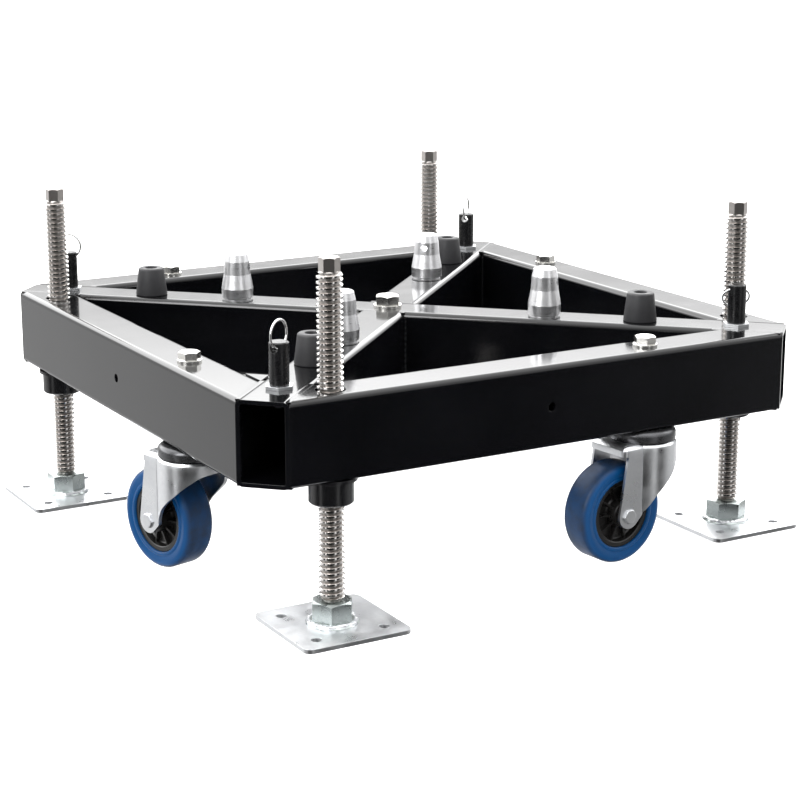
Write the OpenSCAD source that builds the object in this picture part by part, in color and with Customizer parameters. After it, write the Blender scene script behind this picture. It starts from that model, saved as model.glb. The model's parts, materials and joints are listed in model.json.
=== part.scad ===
// Base frame for a lifting tower: a square welded frame of box section with an X of diagonals,
// four screw jacks, four swivel casters, four truss spigots, rubber rests and socket locks.
// Millimetres, +Z up. Origin: on the floor under the middle of the frame. Front is -Y.

/* [Frame] */
// Side of the square frame, over the outer faces
frame_side = 625; // [600:1:680]
// Height of the frame's top face above the floor with the jacks as set
frame_top = 224; // [218:1:240]
// Height of the box section
beam_h = 80; // [76:1:84]
// Width of the box section
beam_w = 50; // [48:1:54]
// Wall of the box section
wall = 4; // [3:0.5:5]
// Outer corner radius of the box section
section_r = 6; // [4:0.5:8]
// Radius of the small hole in the middle of each side
side_hole_r = 4.5; // [3:0.5:6]

/* [Jacks] */
// Distance of a jack from the middle of its side
jack_along = 223; // [215:1:228]
// Outer diameter of the trapezoidal thread
screw_d = 24; // [20:1:24]
// Height of the top of a jack screw above the floor
screw_top = 344.5; // [320:0.5:380]
// Side of the square foot plate
foot_side = 110; // [100:1:120]
// Thickness of the foot plate
foot_t = 4; // [4:0.5:6]
// Spacing of the holes in the foot plate
foot_hole_spacing = 70; // [60:1:80]
// Radius of a hole in the foot plate
foot_hole_r = 5; // [3:0.5:6]

/* [Casters] */
// Distance of a caster from the middle of its side
caster_along = 125; // [110:1:140]
// Wheel diameter
wheel_d = 100; // [96:1:100]
// Width of the tyre
tyre_w = 34; // [28:1:35]
// Distance of the wheel's axle from the swivel axis
trail = 38; // [37:0.5:40]
// Depth of the caster under the frame
caster_h = 131; // [126:1:132]
// Direction in which each wheel trails, in degrees from +X
headings = [186, 80, 6, 105];

/* [Top fittings] */
// Spacing of the truss spigots
spigot_spacing = 240; // [236:0.5:250]
// Distance of a rubber rest from the middle, along a diagonal
rest_along = 270; // [262:1:280]
// Distance of a socket lock from the middle, along a diagonal
lock_along = 368; // [362:1:372]
// Lift of a socket lock, which also sets how deep its pin reaches into the socket
lock_lift = 14; // [10:0.5:14]

/* [Hidden] */
$fn = 64;
corners = ["front_left", "front_right", "back_right", "back_left"];
sides = ["front", "right", "back", "left"];
frame_bottom = frame_top - beam_h;
half_side = frame_side / 2;
rail_centre = half_side - beam_w / 2;
mitre_half = half_side - beam_w / sqrt(2);
diagonal_half = half_side * sqrt(2) - beam_w / 2;
spigot_along = spigot_spacing / sqrt(2);
running_gap = 0.05;
over = 1;

// Bolts: M12 for casters and spigots, M16 at the crossing, M6 in the rests
bolt_r = 6;
bolt_af = 19;
bolt_clear_r = 6.5;
bolt_washer_r = 12;
caster_nut_h = 6;
centre_bolt_r = 8;
centre_bolt_af = 24;
centre_clear_r = 8.5;
centre_washer_r = 15;
rest_screw_r = 3;
rest_clear_r = 3.1;
thread_gap = 0.1;

// Jack
screw_r = screw_d / 2;
foot_nut_af = 36;
foot_nut_h = 21.5;
foot_nut_top = foot_t + foot_nut_h;
foot_bead_h = 3.5;
journal_r = 8.5;
journal_z = foot_t + 4;
drive_af = 17;
drive_h = 12.5;
jack_collar_r = 21;
jack_collar_h = 25;
jack_flange_r = 24.5;
jack_flange_t = 4;
jack_spigot_r = 17;
jack_spigot_h = 14;
jack_clear_r = 14;

// Caster, heights above the floor
axle_z = frame_bottom - caster_h + wheel_d / 2;
crown_top = frame_bottom - 14;
crown_t = 3;
crown_r = 31;
head_r = 33;
head_bottom = frame_bottom - 22.5;
fork_inner = 20;
fork_t = 3;
leg_r = 12.5;
leg_y = fork_inner + fork_t;
fork_front = trail + 5;
hub_r = 34;
axle_r = 6;
axle_bolt_r = 4;
axle_bolt_af = 13;

// Fittings on top
spigot_h = 51;
spigot_r = 13;
spigot_blind = 20;
spigot_cross_z = frame_top + 36;
spigot_cross_r = 4;
rest_h = 30;
rest_floor = 12;

// Socket lock, heights above the floor
guide_nut_af = 24;
guide_nut_h = 3.2;
guide_shank_r = 8;
guide_post_r = 7.2;
guide_top = frame_top + 24.5;
knob_bottom = frame_top + guide_nut_h + 0.3;
knob_top = frame_top + 43;
knob_r = 9.25;
lock_pin_r = 6;
lock_stem_r = 3;
lock_shoulder = frame_top + 1;
spring_top = guide_top - 2.5;
ring_hole_z = knob_top - 5.4;
ring_hole_r = 4;
stem_top = ring_hole_z - ring_hole_r - 1;
ring_r = 13.4;
ring_wire_r = 1.1;
ring_drop = 1.8;
// Direction of each ring's hole in degrees from +X, and how far each ring has swung down
ring_azimuths = [31, -29, 45, -29];
ring_swings = [0, -145, 0, 0];

jack_nodes = [for (c = corners) each
    [str("foot_plate_", c), str("foot_nut_", c), str("jack_screw_", c)]];
caster_nodes = [for (s = sides) each
    [str("caster_fork_", s), str("caster_axle_", s), str("wheel_hub_", s), str("wheel_tyre_", s)]];
lock_nodes = [for (c = corners) each
    [str("lock_knob_", c), str("lock_pin_", c), str("lock_spring_", c), str("pull_ring_", c)]];

function turned(p, k) = k == 0 ? p : turned([-p[1], p[0]], k - 1);

// Children drawn for the front side, turned to side k
module at_side(k) rotate(90 * k) children();

// Children drawn at the origin, with +X outward, placed on the diagonal of corner k
module on_diagonal(k, along) rotate(225 + 90 * k) translate([along, 0, 0]) children();

// Children drawn about the swivel axis, with the wheel towards +X
module at_caster(k) {
    place = turned([caster_along, -rail_centre], k);
    translate([place[0], place[1], 0]) rotate(headings[k]) children();
}

module rod(r, z0, z1) translate([0, 0, z0]) cylinder(r = r, h = z1 - z0);

module hex(af, z0, z1) translate([0, 0, z0])
    cylinder(r = af / 2 / cos(30), h = z1 - z0, $fn = 6);

// Hexagon with its corners turned off at the top
module hex_head(af, z0, z1) intersection() {
    hex(af, z0, z1);
    chamfer_r = 0.475 * af;
    slope_h = 0.24 * af;
    rotate_extrude() polygon([[0, z0], [af, z0], [af, z1 - slope_h], [chamfer_r, z1], [0, z1]]);
}

// A nut or washer is a rod or hexagon with a clear bore
module bored(r, z0, z1) difference() {
    children();
    rod(r, z0 - over, z1 + over);
}

module rounded_section(w, h, r) {
    square([w - 2 * r, h], center = true);
    square([w, h - 2 * r], center = true);
    for (x = [-1, 1], y = [-1, 1]) translate([x * (w / 2 - r), y * (h / 2 - r)]) circle(r = r);
}

// Box section along X from x0 to x1, with its top face at frame_top
module box_section(x0, x1) {
    translate([x0, 0, frame_top - beam_h / 2]) rotate([90, 0, 90]) linear_extrude(x1 - x0)
        difference() {
            rounded_section(beam_w, beam_h, section_r);
            rounded_section(beam_w - 2 * wall, beam_h - 2 * wall, section_r - wall);
        }
}

module plate_xz(y0, t) translate([0, y0 + t, 0]) rotate([90, 0, 0]) linear_extrude(t) children();

// ---- Welded frame ----

// One side of the frame, cut at both ends to butt against the diagonals
module side_beam() color("#121315") difference() {
    translate([0, -rail_centre, 0]) box_section(-mitre_half, mitre_half);
    for (a = [45, -45]) rotate(a)
        translate([-frame_side, -beam_w / 2, frame_bottom - over])
            cube([2 * frame_side, beam_w, beam_h + 2 * over]);
    at_jack() rod(jack_clear_r, frame_top - wall - over, frame_top + over);
    at_jack() rod(jack_spigot_r, frame_bottom - over, frame_bottom + wall + over);
    translate([caster_along, -rail_centre, 0]) rod(bolt_clear_r, frame_bottom - over, frame_top + over);
    translate([0, -half_side - over, frame_top - beam_h / 2]) rotate([-90, 0, 0])
        cylinder(r = side_hole_r, h = wall + 2 * over);
}

// Holes in the top and bottom walls of one arm of the X
module arm_holes() {
    translate([spigot_along, 0, 0]) rod(bolt_clear_r, frame_bottom - over, frame_top + over);
    translate([rest_along, 0, 0]) rod(rest_clear_r, frame_top - wall - over, frame_top + over);
    translate([lock_along, 0, 0])
        rod(guide_shank_r + running_gap, frame_top - wall - over, frame_top + over);
}

module long_diagonal() color("#121315") difference() {
    rotate(-45) box_section(-diagonal_half, diagonal_half);
    rod(centre_clear_r, frame_bottom - over, frame_top + over);
    for (k = [1, 3]) on_diagonal(k, 0) arm_holes();
}

module half_diagonal() color("#121315") difference() {
    box_section(beam_w / 2, diagonal_half);
    arm_holes();
}

// Triangular plates in the sharp angles beside the front left arm
module corner_gussets() color("#121315") {
    gusset_t = 5;
    gusset_run = 32;
    tip_x = beam_w - half_side;
    tip_y = tip_x + beam_w / sqrt(2);
    for (m = [0, 1]) mirror([m, -m, 0])
        translate([0, 0, frame_top - gusset_t]) linear_extrude(gusset_t) polygon([
            [tip_x, tip_y],
            [tip_x, tip_y + gusset_run],
            [tip_x + gusset_run / 2, tip_y + gusset_run / 2]]);
}

// ---- Jacks ----

module at_jack() translate([-jack_along, -rail_centre, 0]) children();

// Threaded bush welded into the underside of a side
module jack_nut() color("#0e0f11") {
    bottom = frame_bottom - jack_collar_h;
    top = frame_bottom + jack_spigot_h;
    flange_z = frame_bottom - jack_flange_t;
    edge = 1.5;
    rotate_extrude() polygon([
        [screw_r + running_gap, bottom], [jack_collar_r - edge, bottom],
        [jack_collar_r, bottom + edge], [jack_collar_r, flange_z],
        [jack_flange_r, flange_z + 1], [jack_flange_r, frame_bottom],
        [jack_spigot_r, frame_bottom], [jack_spigot_r, top], [screw_r + running_gap, top]]);
}

module jack_screw() color("#b9b2a8") {
    drive_z = screw_top - drive_h;
    thread_z = foot_nut_top + 0.5;
    rotate_extrude() polygon([
        [0, journal_z], [journal_r - 1, journal_z], [journal_r, journal_z + 1], [journal_r, thread_z],
        [screw_r - 1, thread_z], [screw_r, thread_z + 1], [screw_r, drive_z - 2],
        [journal_r, drive_z], [0, drive_z]]);
    hex_head(drive_af, drive_z, screw_top);
}

module foot_plate() color("#c4c8cc") difference() {
    corner_r = 8;
    from_middle = foot_hole_spacing / 2;
    linear_extrude(foot_t) rounded_section(foot_side, foot_side, corner_r);
    for (x = [-1, 1], y = [-1, 1]) translate([x * from_middle, y * from_middle, 0])
        rod(foot_hole_r, -over, foot_t + over);
}

// Hexagon nut that holds the screw's journal, with its weld bead to the plate
module foot_nut() color("#bfc5c9") difference() {
    union() {
        hex_head(foot_nut_af, foot_t, foot_nut_top);
        bead_top = foot_t + foot_bead_h;
        rotate_extrude() polygon([
            [15, foot_t], [25, foot_t], [23, bead_top - 1], [20, bead_top], [15, bead_top]]);
    }
    rod(journal_r + running_gap, foot_t + foot_bead_h, foot_nut_top + over);
}

// ---- Casters ----

// Upper raceway, dust skirt and riveted sleeve: the part that doesn't swivel
module swivel_head() color("#2a2c2e") {
    sheet = 2;
    skirt_z = frame_bottom - 11;
    flat_z = frame_bottom - 3;
    sleeve_r = 11;
    lip_r = 18;
    lip_z = head_bottom + 2.5;
    rotate_extrude() polygon([
        [bolt_clear_r, frame_bottom], [head_r - 3, frame_bottom], [head_r, flat_z], [head_r, skirt_z],
        [head_r - sheet, skirt_z], [head_r - sheet, flat_z], [sleeve_r, flat_z], [sleeve_r, lip_z],
        [lip_r, lip_z], [lip_r, head_bottom], [bolt_clear_r, head_bottom]]);
}

// Where the skirt's inner face meets the inner face of a leg
function leg_start() = sqrt(pow(crown_r - fork_t, 2) - pow(fork_inner, 2));

// One leg: a flat strip that leans forward, down to a round end about the axle
module fork_leg() {
    leg_top = crown_top - crown_t;
    front_touch = 14;
    rear_touch = 225;
    plate_xz(fork_inner, fork_t) difference() {
        union() {
            polygon([[leg_start(), leg_top], [fork_front, leg_top],
                [trail + leg_r * cos(front_touch), axle_z + leg_r * sin(front_touch)],
                [trail + leg_r * cos(rear_touch), axle_z + leg_r * sin(rear_touch)],
                [leg_start(), axle_z + 0.7]]);
            translate([trail, axle_z]) circle(r = leg_r);
        }
        translate([trail, axle_z]) circle(r = axle_bolt_r + thread_gap);
    }
}

// Round skirt under the crown, whose lower edge falls from the rear towards the legs
module fork_skirt() {
    leg_top = crown_top - crown_t;
    rear = -crown_r - over;
    intersection() {
        translate([0, 0, axle_z]) linear_extrude(leg_top - axle_z) difference() {
            circle(r = crown_r);
            circle(r = crown_r - fork_t);
        }
        plate_xz(-crown_r - over, 2 * (crown_r + over))
            polygon([[rear, leg_top], [leg_start() + 1.2, leg_top], [leg_start() + 1.2, axle_z],
                [leg_start(), axle_z + 0.7], [16.5, axle_z + 4.5], [7.3, axle_z + 19],
                [-10.5, crown_top - 31], [-22.3, crown_top - 19], [-28, crown_top - 12.5],
                [rear, crown_top - 10]]);
    }
}

module caster_fork() color("#c2c6c9") {
    race_top = crown_top + 5;
    race_r = 19;
    lip_h = 5;
    difference() {
        union() {
            translate([0, 0, crown_top - crown_t]) linear_extrude(crown_t) {
                circle(r = crown_r);
                translate([0, -leg_y]) square([fork_front, 2 * leg_y]);
            }
            rotate_extrude() polygon([
                [race_r, crown_top - 1], [crown_r - 1, crown_top - 1], [crown_r - 1, crown_top],
                [crown_r - 4, race_top], [race_r, race_top]]);
        }
        rod(race_r - 7.5, crown_top - crown_t - over, crown_top + over);
    }
    translate([fork_front - fork_t, -fork_inner - 1, crown_top - crown_t + 1 - lip_h])
        cube([fork_t, 2 * fork_inner + 2, lip_h]);
    fork_skirt();
    fork_leg();
    mirror([0, 1, 0]) fork_leg();
}

// Turns the axis of a revolved shape from Z to Y and lifts it to the axle
module on_axle() translate([trail, 0, axle_z]) rotate([-90, 0, 0]) children();

// Sleeve between the legs, with the bolt's head on one side and its nut on the other
module caster_axle() color("#cdd1d4") on_axle() {
    head_h = 5.3;
    nut_h = 6.5;
    rod(axle_r, -fork_inner, fork_inner);
    rod(axle_bolt_r, -leg_y - nut_h - 1.5, leg_y + 1);
    hex_head(axle_bolt_af, leg_y, leg_y + head_h);
    hex(axle_bolt_af, -leg_y - nut_h, -leg_y);
}

module wheel_hub() color("#141414") on_axle() {
    boss_y = 19;
    rim_y = 14.5;
    half_profile = [[axle_r + running_gap, boss_y], [13, boss_y], [14.5, 8], [27, 6],
        [29, rim_y], [hub_r, rim_y]];
    mirrored = [for (i = [len(half_profile) - 1 : -1 : 0]) [half_profile[i][0], -half_profile[i][1]]];
    rotate_extrude() polygon(concat(half_profile, mirrored));
}

module wheel_tyre() color("#12508c") on_axle() {
    shoulder_r = 7;
    tread_h = wheel_d / 2 - hub_r;
    corner_x = wheel_d / 2 - shoulder_r;
    corner_y = tyre_w / 2 - shoulder_r;
    rotate_extrude() difference() {
        union() {
            translate([hub_r, -corner_y]) square([tread_h, 2 * corner_y]);
            translate([hub_r, -tyre_w / 2]) square([tread_h - shoulder_r, tyre_w]);
            for (y = [-1, 1]) translate([corner_x, y * corner_y]) circle(r = shoulder_r);
        }
        translate([0, -tyre_w]) square([hub_r, 2 * tyre_w]);
    }
}

// ---- Fittings on top ----

// Conical truss spigot with its cross hole and the bolt's blind hole
module truss_spigot() color("#c9cbcc") difference() {
    z = frame_top;
    rotate_extrude() polygon([[0, z], [15.5, z], [15.5, z + 1.5], [16.7, z + 2.5], [17.3, z + 15],
        [spigot_r, z + 34], [spigot_r, z + 48], [11, z + 50], [10, z + spigot_h], [0, z + spigot_h]]);
    rod(bolt_r + thread_gap, frame_top - over, frame_top + spigot_blind);
    translate([0, 0, spigot_cross_z]) rotate([0, 90, 0])
        cylinder(r = spigot_cross_r, h = 2 * spigot_h, center = true);
}

module rubber_rest() color("#2b2c2e") difference() {
    recess_r = 6.5;
    translate([0, 0, frame_top]) cylinder(r1 = 17.5, r2 = 14, h = rest_h);
    rod(recess_r, frame_top + rest_floor, frame_top + rest_h + over);
    rod(rest_clear_r, frame_top - over, frame_top + rest_floor + over);
}

module rest_screw() color("#8c8f92") difference() {
    head_z = frame_top + rest_floor;
    head_h = 6;
    socket_af = 5;
    union() {
        rod(5, head_z, head_z + head_h);
        rod(rest_screw_r, frame_top - 2 * wall, head_z);
    }
    hex(socket_af, head_z + head_h / 2, head_z + head_h + over);
}

// M12 bolt with its washer under the head, from z_head down to z_end
module m12_bolt(z_head, z_end) {
    washer_top = z_head + 2.3;
    head_z = z_head + 2.5;
    hex_head(bolt_af, head_z, head_z + 7.5);
    rod(bolt_r, z_end, head_z);
    bored(bolt_clear_r, z_head, washer_top) rod(bolt_washer_r, z_head, washer_top);
}

// Caster bolts from above with thin nuts under the heads, and spigot bolts from below
module through_bolts() color("#b7b8b4") {
    nut_z = head_bottom - caster_nut_h;
    spigot_bolt_end = frame_top + spigot_blind - 2.5;
    for (k = [0 : 3]) at_caster(k) {
        m12_bolt(frame_top, nut_z - 1.5);
        bored(bolt_r + thread_gap, nut_z, head_bottom) hex(bolt_af, nut_z, head_bottom);
    }
    for (k = [0 : 3]) on_diagonal(k, spigot_along)
        mirror([0, 0, 1]) m12_bolt(-frame_bottom, -spigot_bolt_end);
}

// M16 bolt through the crossing of the diagonals, with two washers and a nut
module center_bolt() color("#b7b8b4") {
    washer_t = 3;
    head_z = frame_top + washer_t + 0.2;
    nut_z = frame_bottom - 16;
    nut_top = frame_bottom - washer_t - 0.2;
    hex_head(centre_bolt_af, head_z, head_z + 9.8);
    rod(centre_bolt_r, nut_z - 4, head_z);
    for (z = [frame_top, frame_bottom - washer_t])
        bored(centre_clear_r, z, z + washer_t) rod(centre_washer_r, z, z + washer_t);
    bored(centre_bolt_r + thread_gap, nut_z, nut_top) hex(centre_bolt_af, nut_z, nut_top);
}

// Threaded guide with its hexagon collar; the pin and spring run inside
module lock_guide() color("#9a9da0") difference() {
    union() {
        rod(guide_shank_r, frame_top - wall, frame_top + 1);
        hex(guide_nut_af, frame_top, frame_top + guide_nut_h);
        rod(guide_post_r, frame_top, guide_top);
    }
    rod(lock_pin_r + running_gap, frame_top - wall - over, spring_top);
    rod(lock_stem_r + running_gap, spring_top - over, guide_top + over);
}

// At full lift the tip is level with the inner face of the socket's upper wall
module lock_pin() color("#c8ccd0") {
    tip = frame_top - wall - lock_lift;
    rotate_extrude() polygon([
        [0, tip], [lock_pin_r - 2, tip], [lock_pin_r, tip + 2], [lock_pin_r, lock_shoulder],
        [lock_stem_r, lock_shoulder], [lock_stem_r, stem_top], [0, stem_top]]);
}

module lock_knob() color("#151516") difference() {
    rotate_extrude() polygon([[0, knob_bottom], [knob_r, knob_bottom], [knob_r, knob_top - 1],
        [knob_r - 1, knob_top], [0, knob_top]]);
    rod(guide_post_r + 0.4, knob_bottom - over, guide_top + 2);
    rod(lock_stem_r, guide_top, stem_top);
    children();
}

module ring_hole(k) translate([0, 0, ring_hole_z]) rotate([0, 90, ring_azimuths[k]])
    cylinder(r = ring_hole_r, h = 4 * knob_r, center = true);

module lock_spring() color("#a7abaf") {
    inner_r = 4.2;
    outer_r = 5.6;
    bottom = lock_shoulder + 0.2;
    bored(inner_r, bottom, spring_top) rod(outer_r, bottom, spring_top);
}

// Ring drawn upright in the XZ plane about the hole's axis, then swung about that axis
module pull_ring(k) color("#d6d8da") translate([0, 0, ring_hole_z])
    rotate(ring_azimuths[k]) rotate([ring_swings[k], 0, 0])
        translate([0, 0, ring_r - ring_drop]) rotate([90, 0, 0]) rotate_extrude()
            translate([ring_r, 0]) circle(r = ring_wire_r);

module lock_at(k) {
    place = turned([-lock_along / sqrt(2), -lock_along / sqrt(2)], k);
    translate([place[0], place[1], 0]) children();
}

// ---- Nodes ----

at_side(0) side_beam();  // front_beam
at_side(1) side_beam();  // right_beam
at_side(2) side_beam();  // back_beam
at_side(3) side_beam();  // left_beam
long_diagonal();
on_diagonal(0, 0) half_diagonal();  // front_half_diagonal
on_diagonal(2, 0) half_diagonal();  // back_half_diagonal
corner_gussets();
for (k = [0 : 3]) at_side(k) at_jack() jack_nut();  // jack_nuts
for (k = [0 : 3]) on_diagonal(k, spigot_along) truss_spigot();  // truss_spigots
for (k = [0 : 3]) on_diagonal(k, rest_along) rubber_rest();  // rubber_rests
for (k = [0 : 3]) on_diagonal(k, rest_along) rest_screw();  // rest_screws
through_bolts();
center_bolt();
for (k = [0 : 3]) lock_at(k) lock_guide();  // lock_guides
for (k = [0 : 3]) at_caster(k) swivel_head();  // swivel_heads
for (k = [0 : 3]) {
    at_side(k) at_jack() foot_plate();
    at_side(k) at_jack() foot_nut();
    at_side(k) at_jack() jack_screw();
    at_caster(k) caster_fork();
    at_caster(k) caster_axle();
    at_caster(k) wheel_hub();
    at_caster(k) wheel_tyre();
    lock_at(k) lock_knob() ring_hole(k);
    lock_at(k) lock_pin();
    lock_at(k) lock_spring();
    lock_at(k) pull_ring(k);
}
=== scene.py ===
"""Looks for the tower base frame: thread, sheet-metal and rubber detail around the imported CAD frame.

Metres, in the CAD frame: +Z up, the front side towards -Y, the origin on the floor under the middle.
"""

import json
import math

import bmesh
import bpy
from mathutils import Matrix, Vector


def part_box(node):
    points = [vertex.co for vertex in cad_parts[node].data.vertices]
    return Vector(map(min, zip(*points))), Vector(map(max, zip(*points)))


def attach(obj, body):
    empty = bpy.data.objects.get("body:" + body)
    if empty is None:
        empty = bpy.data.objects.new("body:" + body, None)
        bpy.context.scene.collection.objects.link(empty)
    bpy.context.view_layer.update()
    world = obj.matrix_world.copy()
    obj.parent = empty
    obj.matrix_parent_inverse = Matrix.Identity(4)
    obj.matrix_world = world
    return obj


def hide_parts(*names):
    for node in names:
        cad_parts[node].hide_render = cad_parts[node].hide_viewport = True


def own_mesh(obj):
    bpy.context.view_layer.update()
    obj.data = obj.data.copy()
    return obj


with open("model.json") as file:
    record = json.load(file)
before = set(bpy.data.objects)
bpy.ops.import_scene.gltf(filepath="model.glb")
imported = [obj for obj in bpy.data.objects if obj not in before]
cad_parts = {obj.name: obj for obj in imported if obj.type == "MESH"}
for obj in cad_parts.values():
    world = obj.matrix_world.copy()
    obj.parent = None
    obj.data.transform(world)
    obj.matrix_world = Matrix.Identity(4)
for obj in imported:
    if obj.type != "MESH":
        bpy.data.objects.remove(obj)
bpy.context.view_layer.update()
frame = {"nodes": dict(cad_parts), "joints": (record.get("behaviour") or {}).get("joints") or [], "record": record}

MM = 0.001
SIDES = ("front", "right", "back", "left")
CORNERS = ("front_left", "front_right", "back_right", "back_left")
JOINTS = {joint["name"]: joint for joint in frame["joints"]}

FRAME_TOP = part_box("front_beam")[1].z
FRAME_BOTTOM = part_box("front_beam")[0].z
HALF_SIDE = -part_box("front_beam")[0].y
BEAM_W = 50 * MM

# Jack screw: trapezoidal thread of 24 mm with a 5 mm pitch
THREAD_PITCH = 5 * MM
THREAD_CREST = 12 * MM
THREAD_ROOT = 9.25 * MM
JOURNAL_R = 8.5 * MM
DRIVE_AF = 17 * MM
DRIVE_H = 12.5 * MM
DRIVE_CHAMFER_R = 8.1 * MM

# Caster, in a local frame: swivel axis on Z, wheel towards +X, heights above the floor
TRAIL = 38 * MM
CROWN_TOP = FRAME_BOTTOM - 14 * MM
CROWN_R = 31 * MM
SHEET = 3 * MM
FORK_OUTER = 23 * MM
FORK_FRONT = 43 * MM
SKIRT_START = 20.8 * MM
LEG_R = 12.5 * MM
LIP_BOTTOM = CROWN_TOP - 7 * MM
TYRE_R = 50 * MM

SPIGOT_R = 17.3 * MM
REST_R = 17.5 * MM


# ---- Mesh helpers ----

# Faces of a box whose corners are listed as four in order round one end, then the four opposite them
BOX_FACES = [(0, 1, 2, 3), (4, 5, 6, 7), (0, 1, 5, 4), (1, 2, 6, 5), (2, 3, 7, 6), (3, 0, 4, 7)]


def joint_place(name):
    """Where a joint's axis passes at rest."""
    return Vector(JOINTS[name]["pos_m"])


def finish_mesh(mesh, sharp_angle=35):
    """Outward normals, smooth faces, and sharp edges where faces meet at more than sharp_angle degrees."""
    bm = bmesh.new()
    bm.from_mesh(mesh)
    bmesh.ops.remove_doubles(bm, verts=bm.verts, dist=1e-7)
    bmesh.ops.dissolve_degenerate(bm, edges=bm.edges, dist=1e-8)
    bmesh.ops.recalc_face_normals(bm, faces=bm.faces)
    for face in bm.faces:
        face.smooth = True
    limit = math.radians(sharp_angle)
    for edge in bm.edges:
        edge.smooth = len(edge.link_faces) == 2 and edge.calc_face_angle(0) < limit
    bm.to_mesh(mesh)
    bm.free()


def add_piece(name, verts, faces, body, slot, place=None, turn=0.0, sharp_angle=35):
    """A mesh piece that rides on a body, drawn about its own origin and set at place, turned about Z."""
    mesh = bpy.data.meshes.new(name)
    mesh.from_pydata([tuple(v) for v in verts], [], faces)
    finish_mesh(mesh, sharp_angle)
    mesh.materials.append(MATERIALS[slot])
    obj = bpy.data.objects.new(name, mesh)
    bpy.context.scene.collection.objects.link(obj)
    obj.matrix_world = Matrix.Translation(place or Vector()) @ Matrix.Rotation(turn, 4, "Z")
    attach(obj, body)
    return obj


def joined(shapes):
    """Several (verts, faces) as one."""
    verts, faces = [], []
    for more_verts, more_faces in shapes:
        start = len(verts)
        verts += more_verts
        faces += [tuple(start + i for i in face) for face in more_faces]
    return verts, faces


def moved(shape, matrix):
    """A (verts, faces) with its points carried along by the matrix."""
    verts, faces = shape
    return [matrix @ Vector(v) for v in verts], faces


def grid_faces(rows, columns, closed):
    """Quads of a grid of rows x columns points, whose columns may close on themselves."""
    faces = []
    for row in range(rows - 1):
        near, far = row * columns, (row + 1) * columns
        for column in range(columns if closed else columns - 1):
            ahead = (column + 1) % columns
            faces.append((near + column, near + ahead, far + ahead, far + column))
    return faces


def lathe(profile, steps=64, closed_profile=False):
    """Turns a list of (radius, height) about Z. A radius of zero closes an end."""
    points = list(profile) + ([profile[0]] if closed_profile else [])
    verts = []
    for radius, height in points:
        for step in range(steps):
            angle = 2 * math.pi * step / steps
            verts.append(Vector((radius * math.cos(angle), radius * math.sin(angle), height)))
    return verts, grid_faces(len(points), steps, True)


def arc(centre, radius, start, end, steps):
    """Points of a circular arc, angles in degrees."""
    points = []
    for step in range(steps + 1):
        angle = math.radians(start + (end - start) * step / steps)
        points.append((centre[0] + radius * math.cos(angle), centre[1] + radius * math.sin(angle)))
    return points


def hexagon_prism(across_flats, bottom, top, chamfer_r, slope=0.58):
    """Hexagon whose top corners are turned off by a cone that meets the top face at chamfer_r."""
    steps = 72
    rings = [[], [], [], []]
    for step in range(steps):
        angle = 2 * math.pi * step / steps
        off_flat = (math.degrees(angle) + 30) % 60 - 30
        radius = across_flats / 2 / math.cos(math.radians(off_flat))
        drop = max(radius - chamfer_r, 0) * slope
        direction = Vector((math.cos(angle), math.sin(angle), 0))
        rings[0].append(Vector((0, 0, bottom)))
        rings[1].append(direction * radius + Vector((0, 0, bottom)))
        rings[2].append(direction * radius + Vector((0, 0, top - drop)))
        rings[3].append(direction * min(radius, chamfer_r) + Vector((0, 0, top)))
    rings.append([Vector((0, 0, top))] * steps)
    return [v for ring in rings for v in ring], grid_faces(len(rings), steps, True)


def thread(bottom, top, end_r, steps=40):
    """Right-handed trapezoidal thread about Z that runs out to end_r at both ends."""
    edge = 0.2 * MM
    # (share of the pitch, radius) over one turn
    profile = (
        (0, THREAD_ROOT),
        (0.33, THREAD_ROOT),
        (0.478, THREAD_CREST - edge),
        (0.5, THREAD_CREST),
        (0.83, THREAD_CREST),
        (0.852, THREAD_CREST - edge),
    )
    runout_slope = 1.2
    turns = math.ceil((top - bottom) / THREAD_PITCH)
    rows = len(profile) * (turns + 2)
    verts = []
    for row in range(rows):
        turn, point = divmod(row, len(profile))
        share, crest_r = profile[point]
        for step in range(steps):
            height = bottom + THREAD_PITCH * (turn - 1 + share + step / steps)
            height = min(max(height, bottom), top)
            room = min(height - bottom, top - height)
            radius = min(crest_r, end_r + runout_slope * room)
            angle = 2 * math.pi * step / steps
            verts.append(Vector((radius * math.cos(angle), radius * math.sin(angle), height)))
    faces = []
    for row in range(rows - 1):
        for step in range(steps):
            # after a full turn the rows meet those of the next pitch
            ahead = 0 if step < steps - 1 else len(profile)
            if row + 1 + ahead < rows:
                nearest = (step + 1) % steps
                faces.append((
                    row * steps + step,
                    (row + ahead) * steps + nearest,
                    (row + 1 + ahead) * steps + nearest,
                    (row + 1) * steps + step,
                ))
    return verts, faces


def weld_bead(path, radius, closed=False, ripple=2.2 * MM):
    """A tube along path whose thickness ripples like a run of weld, with a hand's unevenness."""
    sides = 10
    world_up = Vector((0, 0, 1))
    verts = []
    travelled = 0.0
    for index, point in enumerate(path):
        before = path[index - 1] if index or closed else point
        after = path[(index + 1) % len(path)] if index + 1 < len(path) or closed else point
        along = (after - before).normalized()
        if index:
            travelled += (point - before).length
        phase = travelled / ripple
        swell = 0.86 + 0.16 * abs(math.sin(phase * math.pi)) + 0.07 * math.sin(2.3 * phase + 0.7)
        across = (along.orthogonal() if abs(along.z) > 0.9 else along.cross(world_up)).normalized()
        up = along.cross(across).normalized()
        for side in range(sides):
            angle = 2 * math.pi * side / sides
            offset = across * math.cos(angle) + up * math.sin(angle)
            verts.append(point + offset * radius * swell)
    count = len(path)
    if closed:
        verts += verts[:sides]
        count += 1
    return verts, grid_faces(count, sides, True)


# ---- Materials ----


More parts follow.
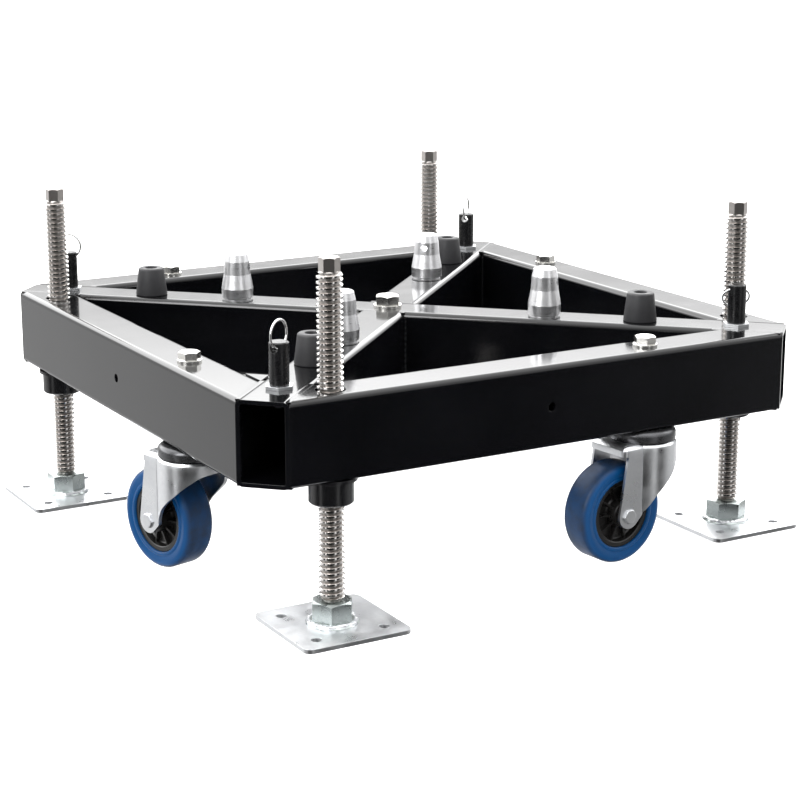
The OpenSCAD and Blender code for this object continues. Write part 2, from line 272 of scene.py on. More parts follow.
class Nodes:
    """A material's node tree with short calls for the nodes used here."""

    def __init__(self, name):
        self.material = bpy.data.materials.new(name)
        self.material.use_nodes = True
        self.tree = self.material.node_tree
        self.shader = self.tree.nodes["Principled BSDF"]
        self.coords = self.add("ShaderNodeTexCoord").outputs["Object"]

    def add(self, kind, **values):
        node = self.tree.nodes.new(kind)
        for key, value in values.items():
            setattr(node, key, value)
        return node

    def link(self, source, target):
        self.tree.links.new(source, target)

    def set(self, **values):
        for key, value in values.items():
            self.shader.inputs[key.replace("_", " ")].default_value = value

    def noise(self, scale, detail=3, stretch=(1, 1, 1), roughness=0.5):
        """Noise whose features are about 1/scale metres, stretched by the given factors."""
        mapping = self.add("ShaderNodeMapping")
        mapping.inputs["Scale"].default_value = stretch
        self.link(self.coords, mapping.inputs["Vector"])
        node = self.add("ShaderNodeTexNoise")
        node.inputs["Scale"].default_value = scale
        node.inputs["Detail"].default_value = detail
        node.inputs["Roughness"].default_value = roughness
        self.link(mapping.outputs["Vector"], node.inputs["Vector"])
        return node.outputs["Fac"]

    def ramp(self, source, low, high, start, end):
        """source from low..high mapped to start..end."""
        node = self.add("ShaderNodeMapRange")
        for socket, value in (("From Min", low), ("From Max", high), ("To Min", start), ("To Max", end)):
            node.inputs[socket].default_value = value
        self.link(source, node.inputs["Value"])
        return node.outputs["Result"]

    def mix(self, share, first, second):
        """Colour between first and second; each is a colour or a socket."""
        node = self.add("ShaderNodeMix", data_type="RGBA")
        self.link(share, node.inputs["Factor"])
        for socket, value in ((node.inputs[6], first), (node.inputs[7], second)):
            if isinstance(value, tuple):
                socket.default_value = (*value, 1)
            else:
                self.link(value, socket)
        return node.outputs[2]

    def math(self, operation, *values):
        node = self.add("ShaderNodeMath", operation=operation)
        for socket, value in zip(node.inputs, values):
            if isinstance(value, (int, float)):
                socket.default_value = value
            else:
                self.link(value, socket)
        return node.outputs[0]

    def radius(self):
        """Distance from the piece's own Z axis."""
        flat = self.add("ShaderNodeVectorMath", operation="MULTIPLY")
        flat.inputs[1].default_value = (1, 1, 0)
        self.link(self.coords, flat.inputs[0])
        length = self.add("ShaderNodeVectorMath", operation="LENGTH")
        self.link(flat.outputs["Vector"], length.inputs[0])
        return length.outputs["Value"]

    def surface(self, height, depth, edge_radius=0.0):
        """Bump of the given depth in metres, over edges rounded by edge_radius."""
        bump = self.add("ShaderNodeBump")
        bump.inputs["Distance"].default_value = depth
        self.link(height, bump.inputs["Height"])
        if edge_radius:
            bevel = self.add("ShaderNodeBevel", samples=6)
            bevel.inputs["Radius"].default_value = edge_radius
            self.link(bevel.outputs["Normal"], bump.inputs["Normal"])
        self.link(bump.outputs["Normal"], self.shader.inputs["Normal"])

    def colour(self, socket):
        self.link(socket, self.shader.inputs["Base Color"])

    def rough(self, socket):
        self.link(socket, self.shader.inputs["Roughness"])


def gloss_black():
    """Gloss black powder coat with faint orange peel."""
    n = Nodes("gloss_black")
    cloud = n.noise(9, 4)
    n.colour(n.mix(n.ramp(cloud, 0.3, 0.7, 0, 1), (0.0012, 0.0013, 0.0017), (0.0024, 0.0025, 0.0032)))
    n.rough(n.ramp(n.noise(28, 4), 0.35, 0.7, 0.07, 0.13))
    n.surface(n.noise(420, 2), 0.00003, 0.5 * MM)
    return n.material


def collar_black():
    """Black paint over turned steel: satin, with turning marks that catch the light."""
    n = Nodes("collar_black")
    n.colour(n.mix(n.noise(60, 3), (0.002, 0.002, 0.0024), (0.005, 0.005, 0.006)))
    n.rough(n.ramp(n.noise(90, 3), 0.3, 0.7, 0.16, 0.27))
    n.surface(n.noise(300, 2, (1, 1, 8)), 0.00004, 0.5 * MM)
    return n.material


def zinc(name, tint, deep, low_rough, high_rough, edge=0.5 * MM):
    """Bright zinc plate: cloudy passivation colours, fine grain, uneven gloss."""
    n = Nodes(name)
    n.set(Metallic=1.0)
    cloud = n.ramp(n.noise(24, 5, roughness=0.6), 0.3, 0.7, 0, 1)
    fine = n.ramp(n.noise(260, 3), 0.3, 0.7, 0, 0.3)
    n.colour(n.mix(fine, n.mix(cloud, tint, deep), tuple(0.88 * c for c in deep)))
    n.rough(n.ramp(n.noise(55, 4), 0.3, 0.7, low_rough, high_rough))
    n.surface(n.noise(900, 3), 0.00002, edge)
    return n.material


def thread_steel():
    """Rolled thread: bright crests, with painted shade that darkens the base colour into the roots, patchy along
    the screw.
    """
    n = Nodes("thread_steel")
    n.set(Metallic=1.0)
    depth = n.ramp(n.radius(), THREAD_ROOT + 0.3 * MM, THREAD_CREST - 0.4 * MM, 1, 0)
    patches = n.ramp(n.noise(60, 4), 0.3, 0.75, 0.75, 1)
    # painted shade: the colour darkens from the crests into the thread roots, unevenly along the screw; the roots
    # are also made rougher
    painted_root_shade = n.math("MULTIPLY", depth, patches)
    n.colour(n.mix(painted_root_shade, (0.88, 0.855, 0.835), (0.4, 0.375, 0.355)))
    n.rough(n.ramp(painted_root_shade, 0, 1, 0.16, 0.34))
    n.surface(n.noise(700, 3, (1, 1, 3)), 0.00003)
    return n.material


def turned_aluminium():
    """Turned aluminium: fine rings from the tool along the axis."""
    n = Nodes("turned_aluminium")
    n.set(Metallic=1.0)
    n.colour(n.mix(n.noise(120, 3, (1, 1, 10)), (0.88, 0.88, 0.89), (0.76, 0.765, 0.78)))
    n.rough(n.ramp(n.noise(70, 3, (1, 1, 12)), 0.3, 0.7, 0.27, 0.36))
    n.surface(n.noise(110, 2, (0.4, 0.4, 40)), 0.00003)
    return n.material


def rest_rubber():
    """Dark grey moulded rubber with a dusty bloom."""
    n = Nodes("rest_rubber")
    n.colour(n.mix(n.noise(45, 5, roughness=0.65), (0.013, 0.013, 0.0145), (0.026, 0.026, 0.0285)))
    n.rough(n.ramp(n.noise(80, 4), 0.3, 0.7, 0.42, 0.62))
    n.surface(n.noise(1200, 4), 0.00008)
    return n.material


def tyre_blue():
    """Blue elastic rubber with a fine grain, duller and greyer on the tread."""
    n = Nodes("tyre_blue")
    tread = n.ramp(n.radius(), TYRE_R - 3.5 * MM, TYRE_R - 0.7 * MM, 0, 1)
    scuffs = n.ramp(n.noise(40, 5, roughness=0.65), 0.35, 0.7, 0.35, 1)
    wear = n.math("MULTIPLY", tread, scuffs)
    side = n.mix(n.noise(30, 3), (0.0002, 0.029, 0.098), (0.0005, 0.038, 0.122))
    n.colour(n.mix(wear, side, (0.009, 0.017, 0.035)))
    n.rough(n.ramp(wear, 0, 1, 0.3, 0.5))
    n.set(Specular_IOR_Level=0.22)
    n.surface(n.noise(600, 3), 0.00005)
    return n.material


def hub_black():
    """Moulded black nylon."""
    n = Nodes("hub_black")
    n.colour(n.mix(n.noise(50, 3), (0.003, 0.0028, 0.0026), (0.007, 0.0065, 0.006)))
    n.rough(n.ramp(n.noise(110, 4), 0.3, 0.7, 0.24, 0.4))
    n.surface(n.noise(1500, 3), 0.00003)
    return n.material


def head_dark():
    """Dark passivated steel of the swivel head."""
    n = Nodes("head_dark")
    n.set(Metallic=0.85)
    n.colour(n.mix(n.noise(45, 4), (0.05, 0.052, 0.055), (0.1, 0.1, 0.105)))
    n.rough(n.ramp(n.noise(70, 4), 0.3, 0.7, 0.2, 0.36))
    n.surface(n.noise(500, 3), 0.00004)
    return n.material


def knob_black():
    """Satin black moulded knob."""
    n = Nodes("knob_black")
    n.colour(n.mix(n.noise(80, 3), (0.002, 0.002, 0.0024), (0.005, 0.005, 0.0056)))
    n.rough(n.ramp(n.noise(150, 3), 0.3, 0.7, 0.2, 0.33))
    n.surface(n.noise(1400, 3), 0.00003, 0.9 * MM)
    return n.material


def floor_white():
    """Pale matt floor with a barely visible mottle."""
    n = Nodes("floor_white")
    n.colour(n.mix(n.noise(2.5, 4), (0.9, 0.9, 0.9), (0.94, 0.94, 0.94)))
    n.rough(n.ramp(n.noise(8, 3), 0.3, 0.7, 0.8, 0.95))
    n.set(Emission_Color=(1, 1, 1, 1), Emission_Strength=0.42)
    n.surface(n.noise(60, 2), 0.0001)
    return n.material


MATERIALS = {
    "frame_black": gloss_black(),
    "zinc": zinc("zinc_plate", (0.8, 0.81, 0.82), (0.69, 0.705, 0.73), 0.26, 0.42),
    "thread_steel": thread_steel(),
    "bolt_zinc": zinc("bolt_zinc", (0.84, 0.83, 0.8), (0.72, 0.71, 0.68), 0.16, 0.28),
    "aluminium": turned_aluminium(),
    "rest_rubber": rest_rubber(),
    "tyre_blue": tyre_blue(),
    "hub_black": hub_black(),
    "head_dark": head_dark(),
    "knob_black": knob_black(),
    "spring_steel": zinc("spring_steel", (0.6, 0.6, 0.6), (0.5, 0.5, 0.5), 0.2, 0.3, 0),
    "ring_nickel": zinc("ring_nickel", (0.8, 0.8, 0.8), (0.7, 0.7, 0.7), 0.08, 0.16, 0),
}
COLLAR = collar_black()
FOOT_NUT = zinc("foot_nut_zinc", (0.47, 0.51, 0.5), (0.36, 0.395, 0.39), 0.2, 0.34)


def paint_cad_nodes():
    slots = {part["node"]: part["material_slot"] for part in frame["record"]["subparts"]}
    for name, obj in frame["nodes"].items():
        material = MATERIALS[slots[name]]
        if name == "jack_nuts":
            material = COLLAR
        elif name.startswith("foot_nut_"):
            material = FOOT_NUT
        obj.data.materials.clear()
        obj.data.materials.append(material)


# ---- Jacks ----


def build_jack(corner):
    """Screw with its journal in the foot nut, its thread and its drive end, and the weld on the foot."""
    place = joint_place("screw_turn_" + corner)
    place.z = 0
    low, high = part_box("jack_screw_" + corner)
    nut_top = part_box("foot_nut_" + corner)[1].z
    drive_bottom = high.z - DRIVE_H
    overlap = 0.5 * MM
    chamfer = 1 * MM
    journal_top = nut_top + 2 * overlap
    journal = lathe([
        (0, low.z),
        (JOURNAL_R - chamfer, low.z),
        (JOURNAL_R, low.z + chamfer),
        (JOURNAL_R, journal_top),
        (0, journal_top),
    ], 40)
    shape = joined([
        journal,
        thread(nut_top + overlap, drive_bottom, JOURNAL_R),
        hexagon_prism(DRIVE_AF, drive_bottom - overlap, high.z, DRIVE_CHAMFER_R),
    ])
    body = "screw_" + corner
    screw = add_piece(body, *shape, body, "thread_steel", place, sharp_angle=30)
    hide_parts("jack_screw_" + corner)
    build_foot_weld(corner, place)


def build_foot_weld(corner, place):
    """Lumpy run of weld between the foot nut and its plate."""
    plate_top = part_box("foot_plate_" + corner)[1].z
    start = 1.7 * CORNERS.index(corner)
    ring_r, ring_lift = 21.6, 1.4
    path = []
    steps = 150
    for step in range(steps):
        angle = 2 * math.pi * step / steps
        wander = 0.5 * math.sin(5 * angle + start) + 0.35 * math.sin(11 * angle + 2 * start)
        radius = (ring_r + wander) * MM
        height = plate_top + (ring_lift + 0.25 * math.sin(7 * angle + start)) * MM
        path.append(Vector((radius * math.cos(angle), radius * math.sin(angle), height)))
    shape = weld_bead(path, 2.5 * MM, closed=True, ripple=4.6 * MM)
    add_piece("foot_weld_" + corner, *shape, "foot_" + corner, "zinc", place)


# ---- Casters ----


def fork_edge(x):
    """Height of the lower edge of a leg or of the skirt at that distance ahead of the swivel axis."""
    axle_z = joint_place("wheel_spin_front").z
    leg_back = TRAIL - LEG_R * math.cos(math.radians(45))
    if x >= leg_back:
        return axle_z - math.sqrt(max(LEG_R**2 - (x - TRAIL) ** 2, 0))
    drop = LEG_R * math.sin(math.radians(45))
    knots = [
        (leg_back, axle_z - drop),
        (SKIRT_START, axle_z - 0.5 * MM),
        (16.5 * MM, axle_z + 4.8 * MM),
        (7.3 * MM, axle_z + 19 * MM),
        (-2 * MM, axle_z + 28.5 * MM),
        (-10.5 * MM, CROWN_TOP - 31 * MM),
        (-22.3 * MM, CROWN_TOP - 18.5 * MM),
        (-28 * MM, CROWN_TOP - 12 * MM),
        (-CROWN_R, CROWN_TOP - 10 * MM),
    ]
    for (x0, z0), (x1, z1) in zip(knots, knots[1:]):
        if x >= x1:
            return z0 + (z1 - z0) * (x - x0) / (x1 - x0)
    return knots[-1][1]


def fork_outline():
    """Half the fork's plan, from the middle of the front edge round to the rear.

    Each point is (x at the crown, x at the lower edge, y, height of the lower edge or None in front).
    """
    corner_r = 2.2 * MM
    points = [(FORK_FRONT, FORK_FRONT, FORK_OUTER * share, None) for share in (0, 0.3, 0.6, 0.85)]
    turn = arc((FORK_FRONT - corner_r, FORK_OUTER - corner_r), corner_r, 0, 80, 3)
    points += [(x, x, y, None) for x, y in turn]
    toe = TRAIL + LEG_R
    narrowing = (FORK_FRONT - corner_r - SKIRT_START) / (toe - SKIRT_START)
    steps = 26
    for step in range(steps):
        angle = 0.5 * math.pi * step / steps
        low_x = toe - (toe - SKIRT_START) * (1 - math.cos(angle))
        points.append((SKIRT_START + (low_x - SKIRT_START) * narrowing, low_x, FORK_OUTER, fork_edge(low_x)))
    start = math.degrees(math.acos(SKIRT_START / CROWN_R))
    for x, y in arc((0, 0), CROWN_R, start, 180, 34):
        points.append((x, x, y, fork_edge(x)))
    return points


def fork_sheet():
    """The pressed fork's outer skin: crown, rounded shoulder, rim, then legs and skirt."""
    half = fork_outline()
    loop = half + [(x, low_x, -y, edge) for x, low_x, y, edge in reversed(half[1:-1])]
    count = len(loop)
    hole_r = 12 * MM
    shoulder = 3 * MM
    rows = []
    inward = []
    for index in range(count):
        before, after = loop[index - 1], loop[(index + 1) % count]
        along = Vector((after[0] - before[0], after[2] - before[2])).normalized()
        inward.append(Vector((-along.y, along.x)))
    rows.append([Vector((x, y, 0)).normalized() * hole_r + Vector((0, 0, CROWN_TOP)) for x, _, y, _ in loop])
    for step in range(5):
        angle = math.radians(90 - 90 * step / 4)
        inset = shoulder * (1 - math.cos(angle))
        height = CROWN_TOP - shoulder * (1 - math.sin(angle))
        row = []
        for (x, _, y, _), normal in zip(loop, inward):
            row.append(Vector((x + normal.x * inset, y + normal.y * inset, height)))
        rows.append(row)
    rows.append([Vector((x, y, LIP_BOTTOM)) for x, _, y, _ in loop])
    verts = [v for row in rows for v in row]
    faces = grid_faces(len(rows), count, True)
    # Legs and skirt hang from the rim where the outline has a lower edge
    drops = 10
    lowered = {}
    for index, (x, low_x, y, edge) in enumerate(loop):
        if edge is not None:
            lowered[index] = len(verts)
            for drop in range(1, drops + 1):
                share = drop / drops
                verts.append(Vector((x + (low_x - x) * share, y, LIP_BOTTOM + (edge - LIP_BOTTOM) * share)))
    rim = (len(rows) - 1) * count
    for index in lowered:
        ahead = (index + 1) % count
        if ahead in lowered:
            left = [rim + index] + [lowered[index] + d for d in range(drops)]
            right = [rim + ahead] + [lowered[ahead] + d for d in range(drops)]
            faces += [(left[d], right[d], right[d + 1], left[d + 1]) for d in range(drops)]
    return verts, faces


def build_caster(side):
    """Fork of pressed sheet with its race, and the wheel."""
    swivel = joint_place("caster_swivel_" + side)
    wheel = joint_place("wheel_spin_" + side)
    heading = math.atan2(wheel.y - swivel.y, wheel.x - swivel.x)
    place = Vector((swivel.x, swivel.y, 0))
    body = "fork_" + side
    fork = add_piece("fork_sheet_" + side, *fork_sheet(), body, "zinc", place, heading, 16)
    solidify = fork.modifiers.new("sheet", "SOLIDIFY")
    solidify.thickness = SHEET
    solidify.offset = -1
    race_top = CROWN_TOP + 5 * MM
    race = lathe([
        (12 * MM, CROWN_TOP - 1 * MM),
        (17.5 * MM, CROWN_TOP - 0.5 * MM),
        (18.5 * MM, race_top - 1 * MM),
        (20 * MM, race_top),
        (25 * MM, race_top),
        (27.5 * MM, race_top - 1.2 * MM),
        (29 * MM, CROWN_TOP + 1.2 * MM),
        (30.3 * MM, CROWN_TOP - 0.4 * MM),
    ], 72)
    add_piece("fork_race_" + side, *race, body, "zinc", place, sharp_angle=50)
    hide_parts("caster_fork_" + side)
    build_wheel(side, wheel, heading)


def build_wheel(side, centre, heading):
    """Tyre and hub about the axle, which is their own Z axis, so that the tread's wear follows it."""
    half = 17 * MM
    shoulder = 7 * MM
    side_profile = [
        (33.9 * MM, 14.2 * MM),
        (34.4 * MM, 16 * MM),
        (35.1 * MM, 16.4 * MM),
        (37.0 * MM, 16.4 * MM),
        (37.5 * MM, 16 * MM),
        (38.0 * MM, 15.7 * MM),
        (38.8 * MM, 15.9 * MM),
        (41.0 * MM, 16.6 * MM),
    ]
    side_profile += arc((TYRE_R - shoulder, half - shoulder), shoulder, 88, 12, 9)
    side_profile += [(TYRE_R - 0.15 * MM, 4.5 * MM)]
    profile = side_profile + [(r, -z) for r, z in reversed(side_profile)]
    tyre = axle_piece("tyre_" + side, lathe(profile, 96, True), "tyre_blue", side, centre, heading, 50)
    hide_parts("wheel_tyre_" + side)
    hub_side = [
        (6.2 * MM, 18.6 * MM),
        (12.2 * MM, 18.6 * MM),
        (13 * MM, 17.8 * MM),
        (14 * MM, 8.2 * MM),
        (15.5 * MM, 7 * MM),
        (25.5 * MM, 7 * MM),
        (27 * MM, 8.2 * MM),
        (28.6 * MM, 13.8 * MM),
        (29.4 * MM, 14.3 * MM),
        (33.4 * MM, 14.3 * MM),
        (34 * MM, 13.7 * MM),
    ]
    shapes = [lathe(hub_side + [(r, -z) for r, z in reversed(hub_side)], 96, True)]
    ribs = 10
    for step in range(ribs):
        turn = Matrix.Rotation(2 * math.pi * step / ribs, 4, "Z")
        for face in (1, -1):
            shapes.append(moved(hub_rib(face), turn))
    hub = axle_piece("hub_" + side, joined(shapes), "hub_black", side, centre, heading, 28)
    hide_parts("wheel_hub_" + side)


def hub_rib(face):
    """Radial rib in the hub's recess, thinner at its free edge."""
    root, free = 1.5 * MM, 1.0 * MM
    inner, outer = 13.4 * MM, 28.4 * MM
    low, high_inner, high_outer = 6.5 * MM, 13 * MM, 10.5 * MM
    verts = []
    for radius, high in ((inner, high_inner), (outer, high_outer)):
        verts += [(radius, -root, face * low), (radius, root, face * low)]
        verts += [(radius, free, face * high), (radius, -free, face * high)]
    return [Vector(v) for v in verts], BOX_FACES


def axle_piece(name, shape, slot, side, centre, heading, sharp_angle):
    """A piece of the wheel drawn about Z, then laid down so that Z is the axle."""
    obj = add_piece(name, *shape, "wheel_" + side, slot, sharp_angle=sharp_angle)
    laid_down = Matrix.Rotation(heading, 4, "Z") @ Matrix.Rotation(math.radians(-90), 4, "X")
    obj.matrix_world = Matrix.Translation(centre) @ laid_down
    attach(obj, "wheel_" + side)
    return obj


def build_raceways():
    """The fixed swivel heads: domed dust skirt over the ball race, and the sleeve inside."""
    top = FRAME_BOTTOM
    bore_r = 6.5 * MM
    sleeve_end = top - 22.5 * MM
    skirt = [(bore_r, top), (27 * MM, top)]
    skirt += arc((27.5 * MM, top - 5.5 * MM), 5.5 * MM, 85, 8, 8)
    skirt += [
        (33 * MM, top - 10.2 * MM),
        (32.6 * MM, top - 11 * MM),
        (31.6 * MM, top - 11 * MM),
        (31 * MM, top - 10.2 * MM),
        (31 * MM, top - 6 * MM),
        (28 * MM, top - 3 * MM),
        (11 * MM, top - 3 * MM),
        (11 * MM, top - 20 * MM),
        (17.4 * MM, top - 20 * MM),
        (18 * MM, top - 20.6 * MM),
        (18 * MM, top - 22 * MM),
        (17.4 * MM, sleeve_end),
        (bore_r, sleeve_end),
    ]
    shapes = []
    for side in SIDES:
        swivel = joint_place("caster_swivel_" + side)
        shapes.append(moved(lathe(skirt, 72, True), Matrix.Translation((swivel.x, swivel.y, 0))))
    heads = add_piece("raceways", *joined(shapes), "root", "head_dark", sharp_angle=50)
    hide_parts("swivel_heads")


# ---- Fittings on top ----


def without(shape, cutter):
    """The first shape with the second cut out of it."""
    objects = []
    for verts, faces in (shape, cutter):
        mesh = bpy.data.meshes.new("cut")
        mesh.from_pydata([tuple(v) for v in verts], [], faces)
        finish_mesh(mesh)
        objects.append(bpy.data.objects.new("cut", mesh))
        bpy.context.scene.collection.objects.link(objects[-1])
    boolean = objects[0].modifiers.new("cut", "BOOLEAN")
    boolean.operation = "DIFFERENCE"
    boolean.object = objects[1]
    graph = bpy.context.evaluated_depsgraph_get()
    mesh = bpy.data.meshes.new_from_object(objects[0].evaluated_get(graph))
    result = [v.co.copy() for v in mesh.vertices], [tuple(face.vertices) for face in mesh.polygons]
    for obj in objects:
        bpy.data.objects.remove(obj)
    return result


def build_spigots():
    """Turned truss spigots: a low foot, a cone, a nearly straight neck, a short nose and a cross hole."""
    low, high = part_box("truss_spigots")
    reach = high.x - SPIGOT_R
    top = high.z - low.z
    body = lathe([
        (0, 0),
        (15.6 * MM, 0),
        (15.7 * MM, 1.4 * MM),
        (17 * MM, 2.2 * MM),
        (SPIGOT_R, 12.5 * MM),
        (14.5 * MM, 28 * MM),
        (13.6 * MM, 42 * MM),
        (11.8 * MM, top - 1.4 * MM),
        (10.4 * MM, top - 0.2 * MM),
        (8.8 * MM, top),
        (0, top),
    ], 96)
    hole_r, hole_z, half_drill = 4 * MM, 36 * MM, 30 * MM
    drill = lathe([(0, -half_drill), (hole_r, -half_drill), (hole_r, half_drill), (0, half_drill)], 96)
    across = Matrix.Translation((0, 0, hole_z)) @ Matrix.Rotation(math.radians(90), 4, "Y")
    drilled = without(body, moved(drill, across))
    shapes = []
    for turn in range(4):
        angle = math.radians(45 + 90 * turn)
        x, y = math.copysign(reach, math.cos(angle)), math.copysign(reach, math.sin(angle))
        shapes.append(moved(drilled, Matrix.Translation((x, y, low.z)) @ Matrix.Rotation(angle, 4, "Z")))
    spigots = add_piece("spigots", *joined(shapes), "root", "aluminium", sharp_angle=5.5)
    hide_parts("truss_spigots")


def build_rests():
    """Moulded rubber rests with a rounded rim and a recess down to the screw."""
    rest_h = 30 * MM
    floor_h = 12 * MM
    bore_r, recess_r = 3.3 * MM, 6.5 * MM
    lip, rim = 1.2 * MM, 2.6 * MM
    profile = [(bore_r, floor_h), (recess_r - 0.3 * MM, floor_h)]
    profile += [(recess_r, floor_h + 0.5 * MM), (recess_r, rest_h - lip)]
    profile += arc((recess_r + lip, rest_h - lip), lip, 180, 90, 4)
    profile += arc((11.4 * MM, rest_h - rim), rim, 90, 8, 7)
    profile += [(17.2 * MM, 1.2 * MM), (17 * MM, 0.3 * MM), (16.6 * MM, 0), (bore_r, 0)]
    low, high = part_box("rubber_rests")
    offset = high.x - REST_R
    shapes = []
    for x in (-offset, offset):
        for y in (-offset, offset):
            shapes.append(moved(lathe(profile, 64, True), Matrix.Translation((x, y, low.z))))
    rests = add_piece("rests", *joined(shapes), "root", "rest_rubber", sharp_angle=50)
    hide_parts("rubber_rests")


def build_spring(corner):
    """Coil spring inside a lock's guide, at its rest length."""
    low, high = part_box("lock_spring_" + corner)
    place = Vector(((low.x + high.x) / 2, (low.y + high.y) / 2, 0))
    wire = 0.6 * MM
    coil_r = (high.x - low.x) / 2 - wire
    turns = 6
    steps = 28 * turns
    path = []
    for step in range(steps + 1):
        share = step / steps
        angle = 2 * math.pi * turns * share
        height = low.z + wire + (high.z - low.z - 2 * wire) * share
        path.append(Vector((coil_r * math.cos(angle), coil_r * math.sin(angle), height)))
    shape = tube(path, wire)
    spring = add_piece("spring_" + corner, *shape, "root", "spring_steel", place)
    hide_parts("lock_spring_" + corner)
    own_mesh(spring)


def tube(path, radius, sides=8):
    """A round wire along path with closed ends."""
    verts = []
    for index, point in enumerate(path):
        along = (path[min(index + 1, len(path) - 1)] - path[max(index - 1, 0)]).normalized()
        across = along.cross(Vector((0, 0, 1))).normalized()
        up = across.cross(along)
        for side in range(sides):
            angle = 2 * math.pi * side / sides
            verts.append(point + radius * (across * math.cos(angle) + up * math.sin(angle)))
    faces = grid_faces(len(path), sides, True)
    faces += [tuple(range(sides)), tuple(len(verts) - sides + i for i in range(sides))]
    return verts, faces


# ---- Welds in the wells ----


def build_frame_welds():
    """Vertical runs of weld in the inner corners of the four triangular wells."""
    inner = HALF_SIDE - BEAM_W
    diagonal_offset = BEAM_W / math.sqrt(2)
    seat = 1.2 * MM
    corners = [
        (inner - diagonal_offset - 3 * seat, -inner + seat),
        (-(inner - diagonal_offset - 3 * seat), -inner + seat),
        (0, -diagonal_offset - seat),
    ]
    low, high = FRAME_BOTTOM + 5 * MM, FRAME_TOP - 5 * MM
    steps = 70
    shapes = []
    for turn in range(4):
        spin = Matrix.Rotation(math.radians(90 * turn), 4, "Z")
        for x, y in corners:
            path = [spin @ Vector((x, y, low + (high - low) * step / steps)) for step in range(steps + 1)]
            shapes.append(weld_bead(path, 2.6 * MM))
    add_piece("frame_welds", *joined(shapes), "root", "frame_black", sharp_angle=80)


def build_seam_fills():
    """Ground-flush weld in the grooves beside the diagonals' rounded edges, on the top and the bottom."""
    outside, inside = 0.7 * MM, 4 * MM
    stand_out = 0.02 * MM
    depth = 2.4 * MM
    outer_round = 2.5 * MM
    inner = (HALF_SIDE - BEAM_W) * math.sqrt(2) - BEAM_W / 2
    outer = HALF_SIDE * math.sqrt(2) - BEAM_W / 2 - outer_round
    runs = [(turn, side, inner, outer) for turn in range(4) for side in (-1, 1)]
    runs += [(turn, 0, -BEAM_W / 2, BEAM_W / 2) for turn in (0, 2)]
    shapes = []
    for turn, side, start, end in runs:
        spin = Matrix.Rotation(math.radians(45 + 90 * turn), 4, "Z")
        for face, level in ((1, FRAME_TOP), (-1, FRAME_BOTTOM)):
            verts = []
            for height in (level - face * depth, level + face * stand_out):
                for along, past in ((start, outside), (end, outside), (end, -inside), (start, -inside)):
                    across = BEAM_W / 2 + past
                    # a run beside a diagonal, or one across the butted end of a half diagonal
                    point = (along, side * across, height) if side else (across, along, height)
                    verts.append(spin @ Vector(point))
            shapes.append((verts, BOX_FACES))
    add_piece("seam_fills", *joined(shapes), "root", "frame_black")


# ---- Stage, light and camera ----


def build_floor():
    """Wide pale floor just under the feet, left out of reflections."""
    reach = 14
    cells = 24
    gap = 0.2 * MM
    verts = []
    for row in range(cells + 1):
        for column in range(cells + 1):
            verts.append((reach * (2 * column / cells - 1), reach * (2 * row / cells - 1), 0))
    mesh = bpy.data.meshes.new("floor")
    mesh.from_pydata(verts, [], grid_faces(cells + 1, cells + 1, False))
    mesh.materials.append(floor_white())
    floor = bpy.data.objects.new("floor", mesh)
    bpy.context.scene.collection.objects.link(floor)
    floor.location.z = -gap
    floor.visible_glossy = False


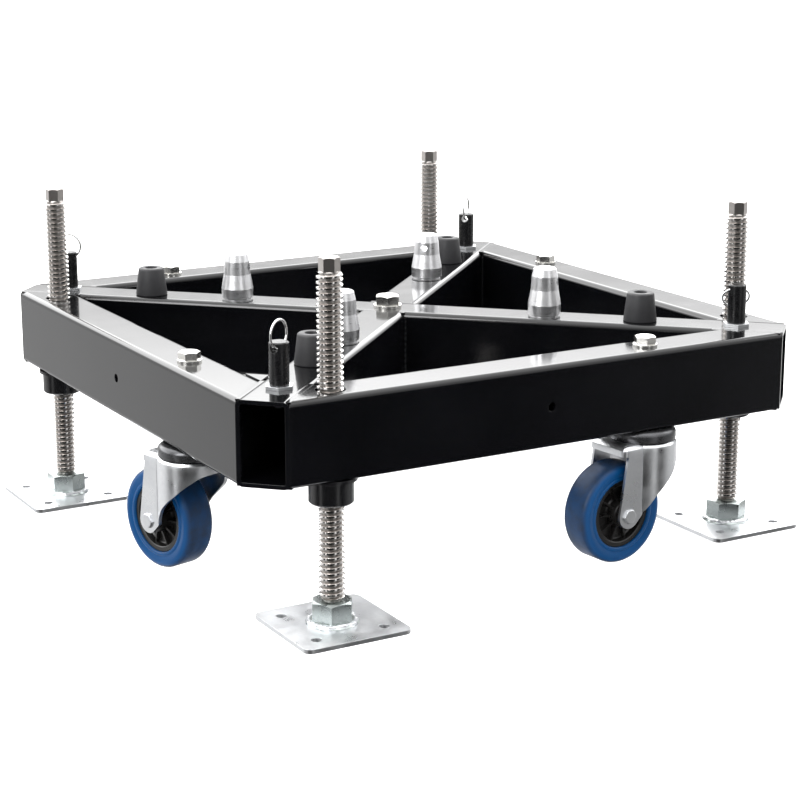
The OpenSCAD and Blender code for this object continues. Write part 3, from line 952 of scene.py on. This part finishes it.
def build_world():
    """White wall behind, paler light on the right, dark studio in front, a soft ceiling and two strips."""
    world = bpy.data.worlds.new("studio")
    world.use_nodes = True
    bpy.context.scene.world = world
    tree = world.node_tree
    background = tree.nodes["Background"]
    coords = tree.nodes.new("ShaderNodeTexCoord")
    split = tree.nodes.new("ShaderNodeSeparateXYZ")
    tree.links.new(coords.outputs["Generated"], split.inputs["Vector"])

    def ramp(source, low, high, start, end):
        node = tree.nodes.new("ShaderNodeMapRange")
        node.interpolation_type = "SMOOTHSTEP"
        for socket, value in (("From Min", low), ("From Max", high), ("To Min", start), ("To Max", end)):
            node.inputs[socket].default_value = value
        tree.links.new(source, node.inputs["Value"])
        return node.outputs["Result"]

    def combine(operation, first, second):
        node = tree.nodes.new("ShaderNodeMath")
        node.operation = operation
        for socket, value in zip(node.inputs, (first, second)):
            if isinstance(value, (int, float)):
                socket.default_value = value
            else:
                tree.links.new(value, socket)
        return node.outputs[0]

    def strip(azimuth, width, strength):
        """A tall strip light at that azimuth, in degrees from +X."""
        flat = tree.nodes.new("ShaderNodeVectorMath")
        flat.operation = "MULTIPLY"
        flat.inputs[1].default_value = (1, 1, 0)
        tree.links.new(coords.outputs["Generated"], flat.inputs[0])
        unit = tree.nodes.new("ShaderNodeVectorMath")
        unit.operation = "NORMALIZE"
        tree.links.new(flat.outputs["Vector"], unit.inputs[0])
        facing = tree.nodes.new("ShaderNodeVectorMath")
        facing.operation = "DOT_PRODUCT"
        facing.inputs[1].default_value = (math.cos(math.radians(azimuth)), math.sin(math.radians(azimuth)), 0)
        tree.links.new(unit.outputs["Vector"], facing.inputs[0])
        edge = math.cos(math.radians(width))
        return ramp(facing.outputs["Value"], edge, 1 - (1 - edge) * 0.4, 0, strength)

    # Brightness by direction: +Y lies behind the object and +X to its right
    height, depth, across = split.outputs["Z"], split.outputs["Y"], split.outputs["X"]
    back = ramp(depth, 0.1, 0.6, 0, 1)
    rise = ramp(height, 0.18, 0.3, 1.0, 4.4)
    fall = ramp(height, 0.4, 0.75, 0, -2.6)
    wall = combine("MULTIPLY", back, combine("ADD", rise, fall))
    front_room = ramp(height, 0.02, 0.45, 0.015, 1.1)
    ceiling = ramp(height, 0.5, 0.95, 0, 1.6)
    right = ramp(across, 0.5, 0.95, 0, 0.65)
    parts = [wall, front_room, ceiling, right, strip(-83, 9, 0.85), strip(-172, 7, 1.1)]
    total = parts[0]
    for part in parts[1:]:
        total = combine("ADD", total, part)
    background.inputs["Color"].default_value = (1, 1, 1, 1)
    tree.links.new(total, background.inputs["Strength"])


def add_softbox(name, place, width, height, power):
    """Soft rectangular light that faces the middle of the object."""
    target = Vector((0, 0, 0.15))
    light = bpy.data.lights.new(name, "AREA")
    light.shape = "RECTANGLE"
    light.size = width
    light.size_y = height
    light.energy = power
    obj = bpy.data.objects.new(name, light)
    bpy.context.scene.collection.objects.link(obj)
    obj.location = place
    obj.rotation_euler = (target - Vector(place)).to_track_quat("-Z", "Y").to_euler()


def build_camera():
    """Camera at the front left, a little above the frame; angles in degrees."""
    camera = bpy.data.cameras.new("camera")
    camera.sensor_width = 36
    camera.lens = 90.1
    camera.shift_x = 0.0475
    camera.shift_y = -0.0275
    obj = bpy.data.objects.new("camera", camera)
    bpy.context.scene.collection.objects.link(obj)
    place = Vector((-1.0380, -1.8207, 0.6623))
    yaw, pitch, roll = 28.93, 13.85, -0.28
    obj.matrix_world = (
        Matrix.Translation(place)
        @ Matrix.Rotation(math.radians(-yaw), 4, "Z")
        @ Matrix.Rotation(math.radians(90 - pitch), 4, "X")
        @ Matrix.Rotation(math.radians(roll), 4, "Z")
    )
    bpy.context.scene.camera = obj


paint_cad_nodes()
for corner_name in CORNERS:
    build_jack(corner_name)
    build_spring(corner_name)
for side_name in SIDES:
    build_caster(side_name)
build_raceways()
build_spigots()
build_rests()
build_frame_welds()
build_seam_fills()
build_floor()
build_world()
add_softbox("left_box", (-2.2, -0.9, 1.5), width=0.9, height=1.6, power=38)
add_softbox("right_box", (2.4, -0.6, 1.7), width=0.8, height=1.4, power=16)
build_camera()
bpy.context.scene.view_settings.view_transform = "Standard"
